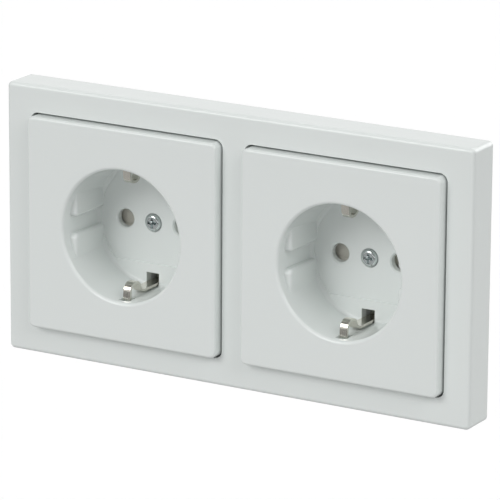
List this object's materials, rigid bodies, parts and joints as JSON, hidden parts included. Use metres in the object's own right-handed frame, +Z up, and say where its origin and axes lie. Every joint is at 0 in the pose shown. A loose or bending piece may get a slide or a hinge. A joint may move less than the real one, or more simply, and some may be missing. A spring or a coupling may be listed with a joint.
{
  "type": "double wall socket",
  "caption": "Flush wall socket: a white frame over inserts with round plug wells, pin holes, sprung side earth clips, shuttered pin holes and push-in terminals behind.",
  "frame": {"origin": "on the wall's surface behind the middle of the frame, at the centre of the box screws", "axes": "+X right along the frame, +Y into the wall, +Z up; the sockets face -Y"},
  "size_m": [0.151, 0.0414, 0.08],
  "materials": {
    "white_plastic": "glossy, slightly cool white",
    "grey_plastic": "matt light grey",
    "button_plastic": "matt dark grey",
    "shutter_plastic": "unpigmented, waxy",
    "steel": "zinc plated",
    "spring_steel": "bright rolled",
    "plated_screw": "bright plated",
    "plated_brass": "nickel plated",
    "brass": "bare rolled"
  },
  "bodies": {
    "socket": {"frame": "white_plastic", "left_centre_plate": "white_plastic", "left_centre_screw": "plated_screw", "left_screw_nut": "steel", "left_support_ring": "steel", "left_ring_rivets": "steel", "left_base": "grey_plastic", "left_rear_cover": "grey_plastic", "left_earth_strap": "plated_brass", "left_line_contact": "brass", "left_neutral_contact": "brass", "left_line_clamp": "spring_steel", "left_neutral_clamp": "spring_steel", "left_earth_clamp": "spring_steel", "right_centre_plate": "white_plastic", "right_centre_screw": "plated_screw", "right_screw_nut": "steel", "right_support_ring": "steel", "right_ring_rivets": "steel", "right_base": "grey_plastic", "right_rear_cover": "grey_plastic", "right_earth_strap": "plated_brass", "right_line_contact": "brass", "right_neutral_contact": "brass", "right_line_clamp": "spring_steel", "right_neutral_clamp": "spring_steel", "right_earth_clamp": "spring_steel"},
    "left_line_release": {"left_line_release": "button_plastic"},
    "left_neutral_release": {"left_neutral_release": "button_plastic"},
    "left_earth_release": {"left_earth_release": "button_plastic"},
    "right_line_release": {"right_line_release": "button_plastic"},
    "right_neutral_release": {"right_neutral_release": "button_plastic"},
    "right_earth_release": {"right_earth_release": "button_plastic"},
    "left_shutter": {"left_shutter": "shutter_plastic"},
    "right_shutter": {"right_shutter": "shutter_plastic"}
  },
  "joints": [
    {"name": "left_line_release_press", "type": "slide", "parent": "socket", "child": "left_line_release", "axis": [0, -1, 0], "range_m": [0, 0.0016], "stiffness_N_per_m": 400, "deforming": ["left_line_clamp"]},
    {"name": "left_neutral_release_press", "type": "slide", "parent": "socket", "child": "left_neutral_release", "axis": [0, -1, 0], "range_m": [0, 0.0016], "stiffness_N_per_m": 400, "deforming": ["left_neutral_clamp"]},
    {"name": "left_earth_release_press", "type": "slide", "parent": "socket", "child": "left_earth_release", "axis": [0, -1, 0], "range_m": [0, 0.0016], "stiffness_N_per_m": 400, "deforming": ["left_earth_clamp"]},
    {"name": "right_line_release_press", "type": "slide", "parent": "socket", "child": "right_line_release", "axis": [0, -1, 0], "range_m": [0, 0.0016], "stiffness_N_per_m": 400, "deforming": ["right_line_clamp"]},
    {"name": "right_neutral_release_press", "type": "slide", "parent": "socket", "child": "right_neutral_release", "axis": [0, -1, 0], "range_m": [0, 0.0016], "stiffness_N_per_m": 400, "deforming": ["right_neutral_clamp"]},
    {"name": "right_earth_release_press", "type": "slide", "parent": "socket", "child": "right_earth_release", "axis": [0, -1, 0], "range_m": [0, 0.0016], "stiffness_N_per_m": 400, "deforming": ["right_earth_clamp"]},
    {"name": "left_shutter_turn", "type": "hinge", "parent": "socket", "child": "left_shutter", "pos_m": [-0.0355, 0.0073, 0], "axis": [0, -1, 0], "range_deg": [0, 38], "stiffness_Nm_per_rad": 0.01},
    {"name": "right_shutter_turn", "type": "hinge", "parent": "socket", "child": "right_shutter", "pos_m": [0.0355, 0.0073, 0], "axis": [0, -1, 0], "range_deg": [0, 38], "stiffness_Nm_per_rad": 0.01}
  ]
}
